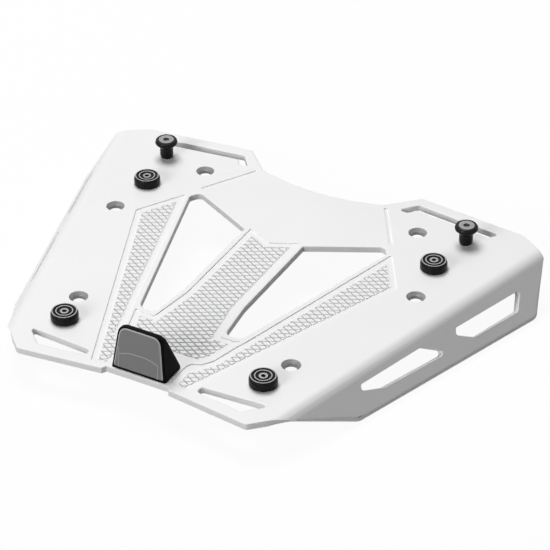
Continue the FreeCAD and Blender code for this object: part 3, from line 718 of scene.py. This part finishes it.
latchForm = {
    "lean": 7.99,              # degrees that the front leans back
    "topDepth": 0.0050,
    "footDepth": 0.0237,
    "blockFootHalf": 0.0214,
    "blockTopHalf": 0.0173,
    "blockShoulder": 0.0070,
    "edgeRound": 0.0036,
    "frontShare": 0.33,        # share of that round on the edges of the front
    "footShare": 0.09,
    "roundSegments": 4,
    "faceFoot": 0.0019,
    "faceTop": 0.0329,
    "footHalf": 0.0198,
    "taper": 0.125,            # loss of half width for each unit of height
    "shoulder": 0.0062,
    "shoulderLoss": 0.8,       # share of an inset that a shoulder's round loses
    "footRound": 0.0010,
    "footLoss": 0.5,           # and a foot corner's round
    "arcSteps": 8,
    "sunk": 0.0004,            # the face starts this far inside the block
    "proud": 0.00045,
    "rimWidth": 0.0009,
    "rimSteps": [(0.0, 0.35), (0.45, 0.85), (1.0, 1.0)],   # shares of rimWidth and proud
    "paleFrom": 0.014,         # the rim gets a painted highlight from this height up
    "lineHalf": 0.0153,
    "lineFoot": 0.0020,
    "lineTop": 0.0178,
    "lineSplay": 0.0003,
    "lineOverlap": 0.0002,
    "lineRound": 0.00034,
    "lineSides": 10,
    "archEnd": 0.0121,
    "archTop": 0.0150,
    "archPower": 2.6,          # a higher one keeps the arch flat further out
    "archSteps": 24,
    "sharpFrom": 50,
}


def onLatchFront(across, up, out):
    # a place on the block's leaning front, counted from the middle of its foot
    lean = math.radians(latchForm["lean"])
    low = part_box("latch_block")[0]
    return Vector((across, low.y + up * math.sin(lean) - out * math.cos(lean),
                   up * math.cos(lean) + out * math.sin(lean)))


def roundedLoop(corners):
    # an outline through corners given as a place and the length of side that its round takes
    points = []
    for index, (corner, reach) in enumerate(corners):
        corner = Vector(corner)
        if not reach:
            points.append(corner)
            continue
        before = (Vector(corners[index - 1][0]) - corner).normalized()
        after = (Vector(corners[(index + 1) % len(corners)][0]) - corner).normalized()
        points += cornerArc(corner + before * reach, corner, corner + after * reach,
                            latchForm["arcSteps"])
    return points


def panelLoop(inset):
    # the face's outline, a trapezoid with round shoulders, drawn in by an inset
    f = latchForm
    low, high = f["faceFoot"] + inset, f["faceTop"] - inset
    foot = f["footHalf"] - inset - low * f["taper"]
    head = f["footHalf"] - inset - high * f["taper"]
    shoulder = f["shoulder"] - inset * f["shoulderLoss"]
    footRound = f["footRound"] - inset * f["footLoss"]
    return roundedLoop([((foot, low), footRound), ((head, high), shoulder),
                        ((-head, high), shoulder), ((-foot, low), footRound)])


def latchPiece(bm, name, replaced, material):
    bmesh.ops.recalc_face_normals(bm, faces=bm.faces)
    piece = newPiece(name, meshFrom(bm, name), "latch_face_plastic", replaced)
    dress(piece, finish[material])
    softBends(piece, latchForm["sharpFrom"])
    return piece


def makeLatchFace():
    f = latchForm
    layers = [(0.0, -f["sunk"])]
    layers += [(f["rimWidth"] * inwards, f["proud"] * out) for inwards, out in f["rimSteps"]]
    bm = bmesh.new()
    loops = [[bm.verts.new(onLatchFront(point.x, point.y, out)) for point in panelLoop(inset)]
             for inset, out in layers]
    bridge(bm, loops)
    bm.faces.new(loops[-1])
    bm.faces.new(list(reversed(loops[0])))
    piece = latchPiece(bm, "latchFace", ["latch_face"], "latchFacePlastic")
    # the upper faces of the rim get the painted highlight
    piece.data.materials.append(finish["latchPaintedHighlight"])
    for face in piece.data.polygons:
        if len(face.vertices) == 4 and face.center.z > f["paleFrom"]:
            face.material_index = 1
    return piece


def makeLatchLine():
    # the raised line round the pull: two uprights and a low arch between them, all in the painted
    # highlight
    f = latchForm
    half, steps, sides = f["lineHalf"], f["archSteps"], f["lineSides"]
    drop = f["archTop"] - f["archEnd"]
    arch = []
    for step in range(steps + 1):
        across = -half + 2 * half * step / steps
        arch.append((across, f["archTop"] - drop * (abs(across) / half) ** f["archPower"]))
    routes = [[(-half, f["lineFoot"]), (-half - f["lineSplay"], f["lineTop"])], arch,
              [(half, f["lineFoot"]), (half, f["archEnd"] + f["lineOverlap"])]]
    bm = bmesh.new()
    for route in routes:
        rings = []
        for index, (across, up) in enumerate(route):
            ahead = Vector(route[min(index + 1, len(route) - 1)]) - Vector(route[max(index - 1, 0)])
            ahead.normalize()
            ring = []
            for side in range(sides):
                turn = 2 * math.pi * side / sides
                aside, out = f["lineRound"] * math.cos(turn), f["lineRound"] * math.sin(turn)
                place = onLatchFront(across - ahead.y * aside, up + ahead.x * aside,
                                     f["proud"] + out)
                ring.append(bm.verts.new(place))
            rings.append(ring)
        bridge(bm, rings)
        bm.faces.new(rings[0])
        bm.faces.new(list(reversed(rings[-1])))
    return latchPiece(bm, "latchLine", (), "latchPaintedHighlight")


def makeLatchBlock():
    f = latchForm
    low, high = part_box("latch_block")
    height = high.z / math.cos(math.radians(f["lean"]))
    front = [onLatchFront(point.x, point.y, 0) for point in roundedLoop([
        ((f["blockFootHalf"], 0), 0), ((f["blockTopHalf"], height), f["blockShoulder"]),
        ((-f["blockTopHalf"], height), f["blockShoulder"]), ((-f["blockFootHalf"], 0), 0)])]
    backY = low.y + f["footDepth"]
    slope = (backY - front[len(front) // 2].y - f["topDepth"]) / high.z
    back = [Vector((place.x, backY - slope * place.z, place.z)) for place in front]
    bm = bmesh.new()
    frontVerts = [bm.verts.new(place) for place in front]
    backVerts = [bm.verts.new(place) for place in back]
    bm.faces.new(frontVerts)
    bm.faces.new(list(reversed(backVerts)))
    bridge(bm, [frontVerts, backVerts])
    bmesh.ops.recalc_face_normals(bm, faces=bm.faces)
    weight = bm.edges.layers.float.new("bevel_weight_edge")
    inFront = set(frontVerts)
    for edge in bm.edges:
        if edge.calc_face_angle(0) < math.radians(shell["sharpFrom"]):
            continue
        onFront = [vert in inFront for vert in edge.verts]
        atFoot = all(vert.co.z < shell["level"] for vert in edge.verts)
        if atFoot and any(onFront):
            edge[weight] = f["footShare"]
        else:
            edge[weight] = f["frontShare"] if all(onFront) else 1.0
    mesh = meshFrom(bm, "latchBlockShell")
    piece = newPiece("latchBlockShell", mesh, "latch_plastic", ["latch_block"])
    dress(piece, finish["latchPlastic"])
    roundEdges(piece, f["edgeRound"], f["roundSegments"], byWeight=True)
    keepInside(piece, "latch_block")
    return piece


pieces = [makePlate(), makeKnurl(), makeGrooveShadeSheet()]
print("plate and knurl made")
for row in ("front", "rear"):
    for side in ("right", "left"):
        pieces.append(makePad(f"{row}_{side}_pad"))
        pieces.append(makePadScrew(f"{row}_{side}_pad_screw"))
for side in ("right", "left"):
    pieces.append(makeStud(f"{side}_stud"))
    pieces.append(makeScrew(f"{side}_stud_screw", screwForm["studRound"]))
print("pads and studs made")
pieces += [makeLatchBlock(), makeLatchFace(), makeLatchLine()]
for piece in pieces:
    declare(piece)
print("latch made, pieces declared:", len(pieces))


stage = {
    "size": 12.0,
    "lowest": -0.0367,         # where the flange lips touch the floor
    "lowestY": -0.0166,
    "gap": 0.0002,             # clear space below the lips
    "tilt": 2.43,              # the plate stands a little higher in front
    "roughness": 0.9,
    "floorTone": 0.38,         # what it throws back on the plate
    "floorGlow": 0.94,         # share of plain white in what the camera sees of it
    "skyLight": 0.04,
}


def maximum(tree, first, second):
    node = tree.nodes.new("ShaderNodeMath")
    node.operation = "MAXIMUM"
    tree.links.new(first, node.inputs[0])
    tree.links.new(second, node.inputs[1])
    return node.outputs[0]


def shownRays(tree):
    # the camera's own rays, and all rays that show the background, mirrored ones too
    path = tree.nodes.new("ShaderNodeLightPath").outputs
    mirrored = maximum(tree, path["Is Glossy Ray"], path["Is Transmission Ray"])
    return path["Is Camera Ray"], maximum(tree, path["Is Camera Ray"], mirrored)


def whiteFloor():
    material, tree, shader = newMaterial("whiteFloor")
    shader.inputs["Roughness"].default_value = stage["roughness"]
    shader.inputs["Specular IOR Level"].default_value = 0.0
    fromCamera, shown = shownRays(tree)
    tone = spread(tree, fromCamera, stage["floorTone"], 1.0)
    tree.links.new(tone, shader.inputs["Base Color"])
    glow = tree.nodes.new("ShaderNodeEmission")
    mixed = tree.nodes.new("ShaderNodeMixShader")
    tree.links.new(spread(tree, shown, 0.0, stage["floorGlow"]), mixed.inputs["Fac"])
    tree.links.new(shader.outputs["BSDF"], mixed.inputs[1])
    tree.links.new(glow.outputs["Emission"], mixed.inputs[2])
    tree.links.new(mixed.outputs["Shader"], tree.nodes["Material Output"].inputs["Surface"])
    return material


def makeFloor():
    half = stage["size"] / 2
    corners = [(-half, -half, 0), (half, -half, 0), (half, half, 0), (-half, half, 0)]
    mesh = bpy.data.meshes.new("floor")
    mesh.from_pydata(corners, [], [(0, 1, 2, 3)])
    floor = bpy.data.objects.new("floor", mesh)
    scene.collection.objects.link(floor)
    floor.location = (0, stage["lowestY"], stage["lowest"] - stage["gap"])
    floor.rotation_euler.x = -math.radians(stage["tilt"])
    dress(floor, whiteFloor())


lamps = {
    "top": {"place": (-0.88, 0.7, 2.87), "size": 1.8, "power": 75},
    "front": {"place": (-0.95, -3.5, 1.6), "size": 1.6, "power": 70},
}
lampAim = (0, -0.1, 0)


def makeLamps():
    for name, lamp in lamps.items():
        light = bpy.data.lights.new(name, "AREA")
        light.shape = "SQUARE"
        light.size = lamp["size"]
        light.energy = lamp["power"]
        holder = bpy.data.objects.new(name, light)
        scene.collection.objects.link(holder)
        holder.location = lamp["place"]
        aim = Vector(lampAim) - Vector(lamp["place"])
        holder.rotation_euler = aim.to_track_quat("-Z", "Y").to_euler()


def makeWorld():
    world = bpy.data.worlds.new("studio")
    scene.world = world
    world.use_nodes = True
    tree = world.node_tree
    backdrop = tree.nodes["Background"]
    backdrop.inputs["Color"].default_value = (1, 1, 1, 1)
    shown = shownRays(tree)[1]
    tree.links.new(spread(tree, shown, stage["skyLight"], 1.0), backdrop.inputs["Strength"])


cameraFit = {
    "eye": (0.6889, -1.3344, 0.9554),
    "azimuth": 28.51,
    "elevation": 34.34,
    "lens": 153.3,
    "sensor": 36,
    "shift": 0.0083,
    "near": 0.05,
    "far": 50,
}


def makeCamera():
    camera = bpy.data.cameras.new("camera")
    camera.lens = cameraFit["lens"]
    camera.sensor_width = cameraFit["sensor"]
    camera.shift_x = cameraFit["shift"]
    camera.clip_start = cameraFit["near"]
    camera.clip_end = cameraFit["far"]
    holder = bpy.data.objects.new("camera", camera)
    scene.collection.objects.link(holder)
    a, e = math.radians(cameraFit["azimuth"]), math.radians(cameraFit["elevation"])
    back = Vector((math.sin(a) * math.cos(e), -math.cos(a) * math.cos(e), math.sin(e)))
    right = Vector((math.cos(a), math.sin(a), 0))
    up = back.cross(right)
    turn = Matrix((right, up, back)).transposed().to_4x4()
    holder.matrix_world = Matrix.Translation(cameraFit["eye"]) @ turn
    scene.camera = holder


makeFloor()
makeLamps()
makeWorld()
makeCamera()
scene.view_settings.view_transform = "Standard"
print("stage, lamps and camera ready")
